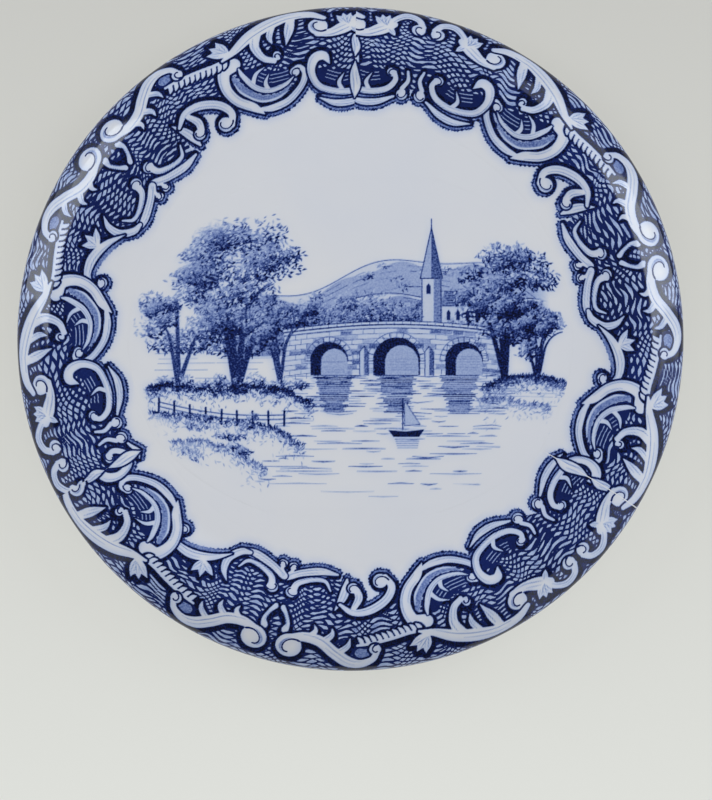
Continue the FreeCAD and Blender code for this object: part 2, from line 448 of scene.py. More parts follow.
class Pen:
    """Draws on a film in flat millimetres, from an origin among its columns."""

    def __init__(self, film, origin=0.0, width=None):
        self.film, self.origin = film, origin
        self.width = film.width if width is None else np.full(len(film.rows), float(width))

    def patch(self, low, high):
        """The part of the grid in a rectangle: its slices and the places of its points."""
        film = self.film
        rows = slice(*np.searchsorted(film.rows, (low[1], high[1])))
        width = self.width[rows]
        if len(width) == 0:
            return None
        ends = self.origin + (low[0] / width).min(), self.origin + (high[0] / width).max()
        cols = slice(*np.searchsorted(film.cols, ends))
        x = width[:, None] * (film.cols[None, cols] - self.origin)
        return (rows, cols), x, np.broadcast_to(film.rows[rows][:, None], x.shape)

    def everywhere(self):
        """The places of all the film's points."""
        x = self.width[:, None] * (self.film.cols[None, :] - self.origin)
        return x, np.broadcast_to(self.film.rows[:, None], x.shape)

    def ink(self, where, edge, line, tone, soft):
        """Lay ink up to an edge, given each point's distance from it: below zero is inside."""
        share = np.clip(0.5 - edge / soft, 0.0, 1.0)
        for layer, value in ((self.film.line, line), (self.film.tone, tone)):
            if value is not None:
                layer[where] += (value - layer[where]) * share

    def lay(self, path, half, line=None, tone=None, soft=SOFT_EDGE, ragged=None):
        """A stroke along a path, with a half width at each of its points."""
        path = np.asarray(path, float)
        half = np.broadcast_to(np.asarray(half, float), (len(path),))
        margin = half.max() + soft + 0.3
        found = self.patch(path.min(0) - margin, path.max(0) + margin)
        if found is None:
            return
        where, x, y = found
        step = np.diff(path, axis=0)
        long = (step ** 2).sum(1) > 1e-9
        start, step, base, grow = path[:-1][long], step[long], half[:-1][long], np.diff(half)[long]
        dx, dy = x[..., None] - start[:, 0], y[..., None] - start[:, 1]
        along = np.clip((dx * step[:, 0] + dy * step[:, 1]) / (step ** 2).sum(1), 0.0, 1.0)
        gap = np.hypot(dx - along * step[:, 0], dy - along * step[:, 1])
        edge = (gap - base - along * grow).min(-1)
        if ragged is not None:
            edge = edge + ragged(x, y)
        self.ink(where, edge, line, tone, soft)

    def rule(self, path, half, tone, line=None):
        """A needle's line, with a crisper edge."""
        self.lay(path, half, line, tone, CRISP_EDGE)

    def touch(self, path, half, tone, soft=CRISP_EDGE):
        """A touch of the needle: fine at both ends and broadest in its middle."""
        self.lay(path, swell(path, (0, .05), (.5, half), (1, .05)), None, tone, soft)

    def fill(self, corners, line=None, tone=None):
        """A closed shape."""
        corners = np.asarray(corners, float)
        found = self.patch(corners.min(0) - 0.6, corners.max(0) + 0.6)
        if found is None:
            return
        where, x, y = found
        inside, gap = np.zeros(x.shape, bool), np.full(x.shape, 1e9)
        for (x1, y1), (x2, y2) in zip(corners, np.roll(corners, -1, axis=0)):
            dx, dy = x2 - x1, y2 - y1
            if dy:
                inside ^= ((y1 > y) != (y2 > y)) & (x < dx * (y - y1) / dy + x1)
            along = np.clip(((x - x1) * dx + (y - y1) * dy) / max(dx * dx + dy * dy, 1e-12), 0.0, 1.0)
            gap = np.minimum(gap, np.hypot(x - x1 - along * dx, y - y1 - along * dy))
        self.ink(where, np.where(inside, -gap, gap), line, tone, SOFT_EDGE)

    def draw(self, strokes):
        """Strokes, one over the other."""
        for stroke in strokes:
            self.lay(stroke.path, stroke.half, stroke.line, stroke.tone)


def curl(start, heading, bends, step=0.4):
    """A line drawn by turning as it goes: each bend is a length and its curvature at both ends."""
    points, (x, y), turn = [tuple(start)], start, math.radians(heading)
    for reach, first, last in bends:
        count = max(2, math.ceil(reach / step))
        part = reach / count
        for index in range(count):
            bend = (first + (last - first) * (index + 0.5) / count) * part / 2
            turn += bend
            x, y = x + math.cos(turn) * part, y + math.sin(turn) * part
            turn += bend
            points.append((x, y))
    return np.array(points)


def placed(path, at=(0.0, 0.0), turn=0.0, size=1.0, flip=False):
    """A path scaled, turned by degrees and moved to where it goes, and mirrored first where it is flipped."""
    path = np.array(path, float) * ((-size, size) if flip else (size, size))
    c, s = math.cos(math.radians(turn)), math.sin(math.radians(turn))
    return path @ np.array([[c, s], [-s, c]]) + np.array(at)


def moved(strokes, size=1.0, **how):
    """Strokes placed in the same way as paths."""
    return [stroke._replace(path=placed(stroke.path, size=size, **how), half=np.asarray(stroke.half) * size)
            for stroke in strokes]


def swell(path, *stops):
    """Half widths along a path, from (share of the way, half width) stops."""
    shares, values = zip(*stops)
    return np.interp(np.linspace(0, 1, len(path)), shares, values)


def beside(path, gap, start=0.0, end=1.0):
    """A line that keeps a distance from a path, on its right, over part of the way."""
    ahead = np.gradient(path, axis=0)
    ahead /= np.maximum(np.hypot(*ahead.T)[:, None], 1e-9)
    line = path + np.column_stack([ahead[:, 1], -ahead[:, 0]]) * gap
    return line[int(start * (len(path) - 1)):int(end * (len(path) - 1)) + 1]


def vein(path, gap, start, end, width, tone):
    """A thin line that keeps a distance from a path and thins out at both ends."""
    side = beside(path, gap, start, end)
    return Stroke(side, swell(side, (0, .03), (.3, width), (.7, width), (1, .03)), None, tone)


# --- painting: the border -------------------------------------------------------------------------

# Each strip of print: where it starts, its spread and how far along it the pattern's axis lies, in degrees,
# and whether the pattern is mirrored.
STRIPS = {
    "right": (-30.9, 119.89, 46.5, False),
    "left": (89.0, 119.99, 53.6, True),
    "lower": (209.0, 119.9, 46.5, False),
}
REPEATS = 3                 # times the pattern goes round the plate
LACE_BASE = 54.2            # these three lie along the section, out from the plate's axis
VINE_MIDDLE = 74.0
PRINT_EDGE = 81.5
LACE_RADIUS = 57.0          # the circles on which each part of the pattern has its true length
PATCH_RADIUS = 60.0
NET_RADIUS = 66.0
VINE_RADIUS = 76.0
LACE_WEIGHT = .83           # widths of the drawn strokes, over those that the shapes give
VINE_WEIGHT = 1.05


def trace(stops, step=0.4):
    """A smooth line through stops of (x, y, half width): its points and its half widths."""
    stops = np.array(stops, float)
    stops = np.vstack([2 * stops[0] - stops[1], stops, 2 * stops[-1] - stops[-2]])
    line = [stops[1]]
    for a, b, c, d in zip(stops, stops[1:], stops[2:], stops[3:]):
        count = max(2, math.ceil(math.dist(b[:2], c[:2]) / step))
        for t in np.arange(1, count + 1) / count:
            line.append(b + 0.5 * t * (c - a + t * (2 * a - 5 * b + 4 * c - d + t * (3 * b - a - 3 * c + d))))
    line = np.array(line)
    return line[:, :2], np.maximum(line[:, 2], 0.03)


def joined(*limbs, balls=(), outline=0.5):
    """White limbs and volutes that run together inside one dark outline, with blue veins along them."""
    limbs, fine = [trace(stops) for stops in limbs], []
    for path, half in limbs:
        if half.max() > 0.7:
            fine += [vein(path, half.max() * 0.35, 0.15, 0.8, 0.1, 0.5),
                     vein(path, half.max() * -0.3, 0.4, 0.75, 0.08, 0.4)]
    for at, radius, heading, side in balls:
        limbs.append((np.array([at, np.add(at, .01)]), np.full(2, radius)))
        fine += volute(at, radius, heading, side)
    return ([Stroke(path, half + outline, 1, 1, True) for path, half in limbs]
            + [Stroke(path, half, 0, 0) for path, half in limbs] + fine)


def tips(at, reach, width, *headings):
    """Pointed leaves that spring from one place."""
    for heading in headings:
        c, s = math.cos(math.radians(heading)) * reach, math.sin(math.radians(heading)) * reach
        yield ((at[0], at[1], width * 0.7), (at[0] + c * 0.45, at[1] + s * 0.45, width),
               (at[0] + c, at[1] + s, 0.04))


def wash(stops, tone):
    """A band of even tone between ribs."""
    return Stroke(*trace(stops), 0, tone)


def volute(at, radius, heading, side):
    """The groove that winds into a ball from where its stem comes in, and the shade beside it."""
    out = math.radians(heading - 90 * side)
    start = np.add(at, (math.cos(out) * radius * .98, math.sin(out) * radius * .98))
    bends = [(radius * 1.7, .95 * side / radius, 1.3 * side / radius),
             (radius * .8, 1.6 * side / radius, 3 * side / radius)]
    groove = curl(start, heading + 30 * side, bends, .25)
    crescent = beside(groove, .12 * radius * side, .3, .95)
    return [Stroke(crescent, swell(crescent, (0, .05), (.6, .16 * radius), (1, .05)), None, .42),
            Stroke(groove, swell(groove, (0, .26), (.5, .16), (1, .22)), 1, 0)]


def pocket(*stops):
    """The dark inside a scroll, with a few ripples of light in it."""
    path, half = trace(stops)
    ripples = [Stroke(beside(path, gap, .12, .88), .13, 0, .42) for gap in (-1.1, -.25, .6)]
    return [Stroke(path, half, 1, .5), *ripples]


def vine_half():
    """The vine from one pair of facing volutes to the next, in millimetres along and across the shoulder."""
    stem = trace(((21, -1.6, .4), (26, -2.2, .35), (30, -2.8, .35), (34, -3.4, .35), (37.5, -3.4, .3)))[0]
    beads = [((x, y - .3, .5), (x - .4, y - 1.2, .5), (x - 1.1, y - 1.9, .12)) for x, y in stem[3::4]]
    return [
        *joined(((2.7, -3.9, .85), (3.1, -5.4, .5), (2.2, -7.4, .45), (1.0, -8.8, .6))),
        *joined(*beads, [(x, y, .35) for x, y in stem], outline=.4),
        *pocket((21.4, .4, 1.7), (22.8, .8, 1.9)), wash(((21.6, .5, 1.2), (22.6, .8, 1.4)), .5),
        *joined(
            ((4.3, -2.2, .9), (8, -3.0, 1.15), (12, -2.2, 1.35), (15.5, .6, 1.5), (18.5, 2.9, 1.45),
             (21.5, 3.6, 1.1), (24.3, 2.5, .8), (25.4, .8, .7)),
            ((9, -3.2, .7), (10.4, -4.8, .55), (9.9, -6.2, .05)),
            ((12.8, -2.6, .8), (14.6, -4.2, .6), (14.6, -5.8, .05)),
            ((16.6, .2, .8), (18.6, -1.5, .6), (19.2, -3.4, .05)),
            balls=(((4.3, 0), 3.0, 235, -1), ((25.2, -.4), 1.35, 200, -1))),
        *joined(
            ((70, 0, .8), (71.6, 2.3, .8), (74, 3.8, .9), (76.7, 3.1, .8), (78.0, 1.0, .8)),
            ((61.5, -2.8, .8), (65, -2.8, 1.05), (68.5, -1.3, 1.6), (71, .2, 1.0)),
            *tips((69, -.6), 4.0, .95, 78, 104, 130), *tips((70, -1.0), 2.8, .7, -50),
            balls=(((61.8, -.8), 2.3, 235, -1), ((77.2, -.2), 1.6, 200, -1))),
        *joined(
            ((36.5, -3.3, .3), (40.5, -1.9, 1.0), (45, .6, 1.6), (50, 2.6, 1.7), (55, 3.8, 1.3),
             (60, 3.5, 1.0), (63.4, 1.9, .6)),
            ((46.5, .4, 1.3), (45.4, -3, 1.1), (46.6, -6.2, .8), (49.2, -7.6, .6)),
            ((55.5, 2.6, 1.0), (54.6, -.8, 1.1), (53.2, -4.6, .05)),
            ((50.7, 1.4, .8), (49.6, -1.4, .7), (49.9, -3.6, .05)),
            *tips((38.2, -1.9), 5.0, 1.1, 104, 130, 158), balls=(((50.3, -6.6), 1.0, 60, 1),)),
    ]


def big_scroll():
    """A tall C-scroll with a banded back and a dark mouth."""
    return [
        *pocket((31.4, 11.4, 1.5), (34.4, 8.8, 2.5), (38.6, 8.4, 1.9), (41, 9.2, 1.0)),
        *joined(((30.8, 2.7, .5), (34, 2.1, .95), (38, 2.8, .9), (41.4, 5.4, .8), (42.7, 8.2, .75),
                 (41.8, 10, .6), (40.4, 9.6, .5)),
                ((28.8, 14.8, 2.0), (26.6, 13.6, 1.5), (25.8, 10, 1.3), (27, 6.4, 1.3), (29.8, 3.6, 1.2),
                 (31.6, 1.3, .1)),
                balls=(((40.6, 9.0), 1.2, 120, 1),)),
        wash(((39.4, 6.4, .1), (36.4, 4.5, .75), (32.4, 4.8, .95), (29.2, 8, 1.0), (28.0, 11.6, .6)), .5),
        wash(((38.6, 5.0, .05), (35, 3.9, .28), (31.4, 4.6, .28), (28.4, 7.9, .28), (27.7, 10.6, .05)), .04),
        *joined(((40.2, 8.0, .1), (38, 6.6, .55), (34.4, 6.2, .7), (31.6, 8, .75), (30.0, 11.4, .6),
                 (29.7, 13.4, .2)),
                ((34.2, 6.4, .6), (34.0, 8.2, .5), (35.2, 10.0, .04)),
                ((31.2, 8.6, .6), (32.6, 10.8, .45), (34.8, 11.8, .04)), outline=.3),
    ]


def small_scroll():
    """A C-scroll with two ribs under its mouth."""
    return [
        *pocket((45.8, 7.4, 1.8), (49.4, 6.2, 2.2), (53.2, 6.8, 1.6)),
        wash(((45.0, 2.6, .1), (47.4, 1.8, .55), (51.4, 1.8, .6), (55, 3.4, .1)), .45),
        *joined(((44.4, 2.0, .1), (48, .5, .85), (52, .7, .85), (55.8, 2.4, .3)),
                ((47.4, 9.6, .1), (46.2, 11.6, 1.2), (44.3, 11.0, 1.2), (43.4, 8.2, .95), (44.4, 5.0, .9),
                 (47, 3.5, .85), (50.6, 3.0, .85), (54, 4.0, .8), (55.6, 6.2, .7), (55.2, 8.0, .6)),
                ((49.8, 3.6, .6), (49.2, 5.2, .5), (50.4, 7.4, .04)), balls=(((54.6, 8.0), 1.2, 120, 1),)),
        *joined(((57.4, 4.6, .6), (58.4, 6.6, .5), (58.0, 8.8, .3)),
                balls=(((57.6, 3.2), 1.5, 330, -1),), outline=.3),
    ]


def lace_middle():
    """Half of the ornament on the axis: an ear, a ball and a sweep along the edge."""
    return [
        wash(((3, 3.2, .3), (6, 2.0, .5), (9.4, 1.9, .2)), .4),
        *joined(((2.4, 6.4, 1.0), (3.2, 4.4, .8), (6.2, 3.0, .65), (9.2, 3.0, .5), (10.6, 5.2, .2)),
                balls=(((2.2, 6.9), 1.5, 100, 1),), outline=.3),
        *joined(((.9, .6, .7), (1.3, 2.0, .5), (.3, 3.6, .9), (3.5, 1.9, .95), (8, .8, 1.0), (12, 1.2, .3)),
                balls=(((1.5, .7), .95, 250, 1),), outline=.36),
    ]


def lace_hooks():
    """From the axis one way: a hooked scroll that hangs into the well."""
    return [
        *joined(((14.2, 2.2, .3), (13.9, 4.6, 1.1), (13.2, 7.0, 1.0), (11.8, 9.8, .1)), outline=.3),
        *joined(((15.7, 9.2, .7), (16.8, 6.8, 1.0), (16.4, 4.8, .9)),
                ((12.8, 8.4, .4), (15.5, 10.2, .85), (19, 9.8, 1.1), (22.6, 7.6, 1.1), (24.2, 4.6, 1.0),
                 (23.0, 2.2, .9)),
                balls=(((15.6, 4.3), 1.5, 270, -1), ((21.8, 2.9), 2.0, 270, -1))),
    ]


def lace_leaf():
    """From the axis the other way: a claw, a long pointed leaf and a small hook."""
    return [
        wash(((14, 2.9, .1), (18, 5.2, .5), (23, 7.2, .3)), .5),
        *joined(((9.5, 1.1, .5), (11.6, 1.8, .95), (13.4, 4.4, 1.0), (13.2, 7.4, .8), (11.6, 9.6, .1)),
                outline=.36),
        *joined(((13.2, 3.2, .05), (17, 6.6, 1.0), (21, 8.6, 1.3), (24.6, 8.6, .9), (26.6, 6.6, .8),
                 (26.0, 4.6, .7)),
                *tips((17.6, 8.4), 3.6, .95, 70, 105, 150), balls=(((25.2, 4.8), 1.3, 270, -1),)),
    ]


# Where the net begins over the lace's base, as (distance from the axis, height): on the side of the hooks and
# on the side of the leaf, which are alike from the tall scroll on.
GROUND_HOOKS = ((0, 3), (5, 1.9), (11.6, 1.4), (12.4, 4), (13, 8.6), (15.5, 10.2), (19, 9.8), (22.6, 7.8),
                (25.2, 6), (27, 6), (30, 3), (34, 2.3), (38, 2.8), (41.6, 5), (43, 7.5), (44.6, 3), (48, 1),
                (52, 1), (56, 2.8), (58, 3.6), (59.7, 5))
GROUND_LEAF = ((0, 3), (5, 1.6), (11.6, 1.8), (13.4, 4.4), (15, 6.6), (17.6, 7.4), (21, 8.6), (25, 8.4),
               (26.8, 6.4), *GROUND_HOOKS[9:])


def paint_net(pen, rng):
    """Two families of lines that run round the border in shallow waves and cross as a mesh."""
    x, y = pen.everywhere()
    slow, wide, thick = Drift(rng, 20), Drift(rng, 40), Drift(rng, 6)
    pitch, lean, wave_length, sway_length = 1.3, .34, 7.3, 19
    wave = .5 * np.sin(math.tau * x / wave_length + 1.2 * slow(x, y))
    up = y + .7 * wide(x, y) + .07 * thick(x, y) + wave
    slide = lean * (x + 2.8 * np.sin(math.tau * x / sway_length + slow(y, x)))
    first, second = (np.abs((up + way * slide) / pitch % 1 - .5) * pitch for way in (-1, 1))
    heavier, lighter = .06 * np.exp(-((y - 63) / 4) ** 2), .01 * np.clip((y - 72) / 5, 0, 1)
    half = .25 + .03 * thick(x, y) + heavier - lighter
    return np.clip(.5 - (np.minimum(first, second) - half) / SOFT_EDGE, 0, 1)


def patch_leaf(low, high, half):
    """A pointed leaf laid over a join in the print."""
    return joined(((0, low, .05), (-.2, (low * 2 + high) / 3, half), (.1, (low + high * 2) / 3, half * .8),
                   (0, high, .05)), outline=.4)


def draw_edged(pen, strokes, drop, grow):
    """Strokes over a soft dark edge that lies a little outward of them."""
    for stroke in strokes:
        if stroke.edge:
            pen.lay(stroke.path + (0, drop), stroke.half + grow, 1, 1, .35)
    pen.draw(strokes)


def paint_border(film, rng, axis, mirrored):
    """One strip of border: net, lace edge towards the well, and the vine on the shoulder."""
    origin, period = film.cols[0] + math.radians(axis), math.tau / REPEATS
    lace_pen, vine_pen, net_pen = (Pen(film, origin, r) for r in (LACE_RADIUS, VINE_RADIUS, NET_RADIUS))
    lace, vine = [], []
    for turn in (-1, 0, 1):
        for part, flip in ((lace_hooks(), mirrored), (lace_leaf(), not mirrored)):
            for group in (lace_middle() + part, big_scroll(), small_scroll()):
                at = (turn * period * LACE_RADIUS + rng.normal(0, .25), LACE_BASE + rng.normal(0, .2))
                lace += moved(group, at=at, flip=flip, turn=rng.normal(0, .3), size=1 + rng.normal(0, .008))
            vine += moved(vine_half(), at=(turn * period * VINE_RADIUS, VINE_MIDDLE), flip=flip)
    lace = [stroke._replace(half=stroke.half * LACE_WEIGHT) for stroke in lace]
    vine = [stroke._replace(half=stroke.half * VINE_WEIGHT) for stroke in vine]
    rough = Drift(rng, .8)

    def comb(x, y):
        """The small teeth of the fringe."""
        return .09 * (np.cos(8.4 * y) - np.cos(8.4 * x)) + .03 * rough(x, y)

    for grow, tone in ((.95, 1.0), (.62, .52)):
        for stroke in lace:
            if stroke.edge:
                lace_pen.lay(stroke.path + (0, -.35), stroke.half - .4 + grow, 0, tone, .25, comb)
    web = paint_net(net_pen, rng)
    x, y = lace_pen.everywhere()
    along = (x / LACE_RADIUS + period / 2) % period * LACE_RADIUS - period * LACE_RADIUS / 2
    along = -along if mirrored else along
    low = np.where(along > 0, np.interp(along, *zip(*GROUND_HOOKS)), np.interp(-along, *zip(*GROUND_LEAF)))
    ground = np.clip(.5 + (y - LACE_BASE - low) / .3, 0, 1)
    film.keep(1 - ground)
    film.line += web * ground
    film.tone += (.27 + .06 * rough(y / 3, x / 3)) * ground
    draw_edged(lace_pen, lace, .35, .3)
    for end in (film.cols[0], film.cols[-1]):
        join_pen = Pen(film, end, PATCH_RADIUS)
        join_pen.draw(patch_leaf(LACE_BASE + 1.2, LACE_BASE + 9.8, 1.15))
        join_pen.draw(patch_leaf(LACE_BASE + 11, LACE_BASE + 17, .8))
    draw_edged(vine_pen, vine, .6, .5)
    worn, frayed = Drift(rng, 5), Drift(rng, .9)
    edge = y - PRINT_EDGE - .18 * worn(x, y)
    film.line[:] = np.maximum(film.line, np.clip(.5 + (edge + .5 + .1 * frayed(x, y)) / .3, 0, 1))
    film.keep(1 - np.clip(.5 + (edge - .06 * frayed(y, x)) / .25, 0, 1))


# --- painting: the vignette -----------------------------------------------------------------------

VIGNETTE_REACH = 53.0, 39.0     # half axes of the oval in which the scene fades out
HILLS_END, HILLS_FADE = 45.5, 4.0
# Each range of hills, from the back: its foot, its rise, where it starts and stops, and its tone.
RANGES = ((10.0, 13.0, -26, 47, .5), (7.0, 8.0, -8, 49, .62), (4.0, 5.0, -30, 30, .7))
COURSES = 9                     # of stone in the bridge
ARCHES = ((.2, 4.3), (.5, 5.4), (.8, 4.3))      # share of the way along the bridge, and radius


def rectangle(left, foot, right, top):
    """Corners of an upright rectangle."""
    return [(left, foot), (right, foot), (right, top), (left, top)]


def half_round(x, y, across, up, count=22):
    """Points along the upper half of an oval, from its right end to its left."""
    return [(x + across * math.cos(turn), y + up * math.sin(turn)) for turn in np.linspace(0, math.pi, count)]


def dabs(pen, rng, places, size, tones, lean=0.0, tall=.45):
    """Leaf-like touches of the needle: short curved strokes, one for each place and tone."""
    for (x, y), tone in zip(places, tones):
        heading = math.degrees(rng.normal(lean, .9))
        reach = size * rng.uniform(.7, 1.4)
        path = curl((x, y), heading, [(reach, rng.normal(0, .8), rng.normal(0, .8))], .3)
        pen.touch(path, size * tall * .5, tone)


def crown(pen, rng, middle, reach, count, size, dark, sparse=.5):
    """A clump of leaves, lit from the upper left: pale and open there, dense and dark low on the right."""
    angle = rng.uniform(0, math.tau, count)
    share = np.sqrt(rng.uniform(0, 1, count)) * (1 + .12 * np.sin(5 * angle + rng.uniform(0, 6)))
    x = middle[0] + reach[0] * share * np.cos(angle)
    y = middle[1] + reach[1] * share * np.sin(angle)
    shade = .5 + .5 * (share * np.cos(angle + .9)) * 1.1
    keep = rng.uniform(0, 1, count) < sparse + (1 - sparse) * shade
    tone = np.clip((.24 + .74 * shade + rng.normal(0, .13, count)) * dark, .16, 1)
    order = np.argsort(tone[keep])
    dabs(pen, rng, np.column_stack([x, y])[keep][order], size, tone[keep][order])


def tree(pen, rng, foot, height, spread, clumps, dabs_each, dark, size):
    """A broad tree: trunk, a few boughs, and clumps of leaves from the back of the crown to its front."""
    top = (foot[0] + rng.normal(0, 1), foot[1] + height * .62)
    for bough in range(5):
        lean = rng.normal(0, 14) + (bough - 2) * 16
        path = curl(foot, 90 - lean * .35, [(height * .36, 0, 0), (height * .3, -lean * .004, -lean * .006)])
        pen.lay(path, swell(path, (0, .05 * height * .45), (1, .12)), None, .8 * dark, .25)
    middles = []
    for _ in range(clumps):
        turn = rng.uniform(0, math.tau)
        out = math.sqrt(rng.uniform(.02, 1))
        middles.append((top[0] + spread * .72 * out * math.cos(turn),
                        top[1] + height * .34 * out * math.sin(turn)))
    for middle in sorted(middles, key=lambda spot: -spot[1]):
        reach = rng.uniform(.2, .34) * spread
        crown(pen, rng, middle, (reach, reach * .62), dabs_each, size, dark)


def hatch(pen, rng, low, high, pitch, tone, slope, half, patchy):
    """Ruled shading over a rectangle: lines that break here and there."""
    for y in np.arange(low[1], high[1], pitch):
        x = low[0] + rng.uniform(0, 1)
        while x < high[0]:
            reach = rng.uniform(2.5, 7)
            stop = min(x + reach, high[0])
            if rng.uniform() > patchy:
                ends = [(x, y + slope * (x - low[0])), (stop, y + slope * (stop - low[0]))]
                pen.rule(ends, half, tone * rng.uniform(.75, 1.1))
            x = stop + rng.uniform(.15, .6)


def hills(pen, rng):
    """Pale rounded hills beyond the river, shaded with fine lines that follow their slope."""
    for base, rise, start, stop, tone in RANGES:
        wave = Drift(rng, 34)
        across = np.arange(start, stop, .7)
        share = (across - start) / (stop - start)
        ridge = base + rise * np.sin(math.pi * share) ** .7 * (.75 + .25 * wave(across, across * 0))
        slope = list(zip(across, ridge)) + [(stop, base - 5), (start, base - 5)]
        pen.fill(slope, 0, .07)
        pen.fill([(x, y - 1.2 - .9 * math.sin(x * .4)) for x, y in slope], None, tone * .62)
        pen.rule(np.column_stack([across, ridge]), .1, tone + .2)
        for layer in range(1, 9):
            drop = layer * rise / 9.0
            for piece in range(0, len(across) - 8, 9):
                if rng.uniform() < .72:
                    cut = slice(piece + rng.integers(0, 3), piece + rng.integers(5, 10))
                    level = ridge[cut] - drop * (.9 + .1 * np.sin(across[cut] * .3))
                    if len(level) > 1:
                        pen.rule(np.column_stack([across[cut], level]), .08, tone * rng.uniform(.9, 1.5))
        for _ in range(40):
            x = rng.uniform(start + 4, stop - 4)
            y = np.interp(x, across, ridge) - rng.uniform(.6, rise * .7)
            crown(pen, rng, (x, y), (rng.uniform(1.0, 2.4), rng.uniform(.6, 1.1)), 28, .55, tone + .4, .6)
    x, y = pen.everywhere()
    pen.film.keep(np.clip((HILLS_END - x) / HILLS_FADE, 0, 1))


def church(pen, rng, x, y):
    """A small church with a spire among trees, its right sides in shade."""
    wall_top, roof_top, tower_top, spire_top = y + 4.2, y + 7.6, y + 10.6, y + 22.4
    pen.fill(rectangle(x, y, x + 9.5, wall_top), 0, .12)
    pen.fill([(x - .4, wall_top), (x + 9.9, wall_top), (x + 8.7, roof_top), (x + .6, roof_top)], 0, .55)
    hatch(pen, rng, (x + .3, y + 4.4), (x + 9.2, y + 7.5), .55, .85, 0, .07, .1)
    for window in range(4):
        left = x + 1.1 + 2.2 * window
        pen.fill([(left, y + .9), (left + .85, y + .9), (left + .85, y + 2.7), (left + .42, y + 3.4),
                  (left, y + 2.7)], .9, .8)
    pen.fill(rectangle(x - 4.6, y, x - .2, tower_top), 0, .1)
    pen.fill(rectangle(x - 1.9, y, x - .1, tower_top), 0, .52)
    pen.fill([(x - 5.0, tower_top), (x + .2, tower_top), (x - 2.4, spire_top)], 0, .3)
    pen.fill([(x - 2.5, tower_top), (x + .2, tower_top), (x - 2.4, spire_top)], 0, .66)
    for side in (
            [(x - 4.6, y), (x - 4.6, tower_top)], [(x - .2, y), (x - .2, tower_top)],
            [(x - 5.0, tower_top), (x + .2, tower_top)], [(x - 5.0, tower_top), (x - 2.4, spire_top)],
            [(x + .2, tower_top), (x - 2.4, spire_top)], [(x - 2.4, y + 22.2), (x - 2.4, y + 24.4)],
            [(x, wall_top), (x + 9.9, wall_top)], [(x + .6, roof_top), (x + 8.7, roof_top)],
            [(x + 9.5, y), (x + 9.5, wall_top)]):
        pen.rule(side, .12, .78)
    pen.fill([(x - 3.6, y + 7.0), (x - 2.6, y + 7.0), (x - 2.6, y + 8.8), (x - 3.1, y + 9.5),
              (x - 3.6, y + 8.8)], .9, .8)


def bridge(pen, rng, left, right, deck, hump):
    """A stone bridge of three arches, its faces jointed and its openings dark."""
    length = right - left
    spring, foot = deck - 6.6, deck - 9.9

    def road(x):
        """The height of the roadway, which rises to its middle."""
        share = (x - left) / length
        return deck + hump * math.sin(math.pi * share)

    across = np.linspace(left, right, 40)
    pen.fill([(x, road(x)) for x in across] + [(right, deck - 9.6), (left, deck - 9.6)], 0, .1)
    for course in range(COURSES):
        drop = .9 + course * 1.15
        line = [(x, road(x) - drop) for x in across]
        for piece in range(0, 39, 4):
            pen.rule(line[piece:piece + 5], .07, rng.uniform(.45, .8))
        for x in np.arange(left + 1.3 * (course % 2), right, 2.6):
            y = road(x) - drop
            if rng.uniform() < .85:
                pen.rule([(x, y), (x, y - 1.1)], .06, rng.uniform(.45, .75))
            if rng.uniform() < .4:
                stone = [(x + .1, y - .1), (x + 2.5, y - .1), (x + 2.5, y - 1.05), (x + .1, y - 1.05)]
                pen.fill(stone, None, rng.uniform(.25, .62))
    for share, radius in ARCHES:
        middle = left + share * length
        pen.fill(half_round(middle, spring, radius, radius)
                 + [(middle - radius, foot), (middle + radius, foot)], .6, .93)
        pen.fill(half_round(middle + 1.2, spring - .3, .72 * radius, .74 * radius, 18)
                 + [(middle + 1.2 - .72 * radius, foot), (middle + 1.2 + .72 * radius, foot)], 0, .3)
        hatch(pen, rng, (middle - radius * .4, deck - 9.8), (middle + radius * .85, spring + radius * .3),
              .6, .5, 0, .06, .3)
        outer = radius + 1.25
        for joint in zip(half_round(middle, spring, radius, radius, 13),
                         half_round(middle, spring, outer, outer, 13)):
            pen.rule(joint, .08, .8)
        for grow, tone in ((0, .95), (1.3, .6)):
            pen.rule(half_round(middle, spring, radius + grow, radius + grow), .1, tone)
    for share in (.355, .645):
        x = left + share * length
        cap = [(x + 1.0, deck - 4.4), (x, deck - 3.2), (x - 1.0, deck - 4.4)]
        pen.fill([(x - 1.0, foot), (x + 1.0, foot), *cap], 0, .14)
        pen.fill([(x, foot), (x + 1.0, foot), *cap[:2]], 0, .62)
        pen.rule([(x - 1.0, foot), *cap[::-1], (x + 1.0, foot)], .1, .8)
    for lift, half, tone in ((0, .16, .85), (.75, .12, .8), (-.8, .1, .7)):
        pen.rule([(x, road(x) + lift) for x in across], half, tone)
    pen.rule([(x, road(x) + .4) for x in across], .24, .06, 0)
    for x in np.arange(left + .8, right, 1.9):
        pen.rule([(x, road(x) + .1), (x, road(x) + .7)], .07, .7)


def water(pen, rng):
    """Level streaks of water: dense under the bridge, long and open towards the foot of the scene."""
    for y in np.arange(-7.1, -35.5, -.58):
        depth = (-7.1 - y) / 28.4
        left, right = -15 - 9 * depth, 37 - 12 * depth
        dense = .86 - .6 * depth
        x = left + rng.uniform(0, 6)
        while x < right:
            reach = rng.uniform(2.0, 6.0 + 9 * depth)
            if rng.uniform() < dense:
                path = [(x, y), (x + reach * .5, y + rng.normal(0, .12)), (min(x + reach, right + 2), y)]
                pen.touch(path, rng.uniform(.1, .2), rng.uniform(.35, .85) * (1 - .25 * depth), SOFT_EDGE)
            x += reach + rng.uniform(.5, 3 + 5 * depth)
    for middle in (-4.5, 10.0, 24.5):
        for y in np.arange(-7.0, -15.5, -.4):
            reach = 4.6 - .3 * (-7.0 - y) + rng.normal(0, .5)
            pen.rule([(middle - reach, y), (middle + reach, y)], .13, rng.uniform(.55, .9))


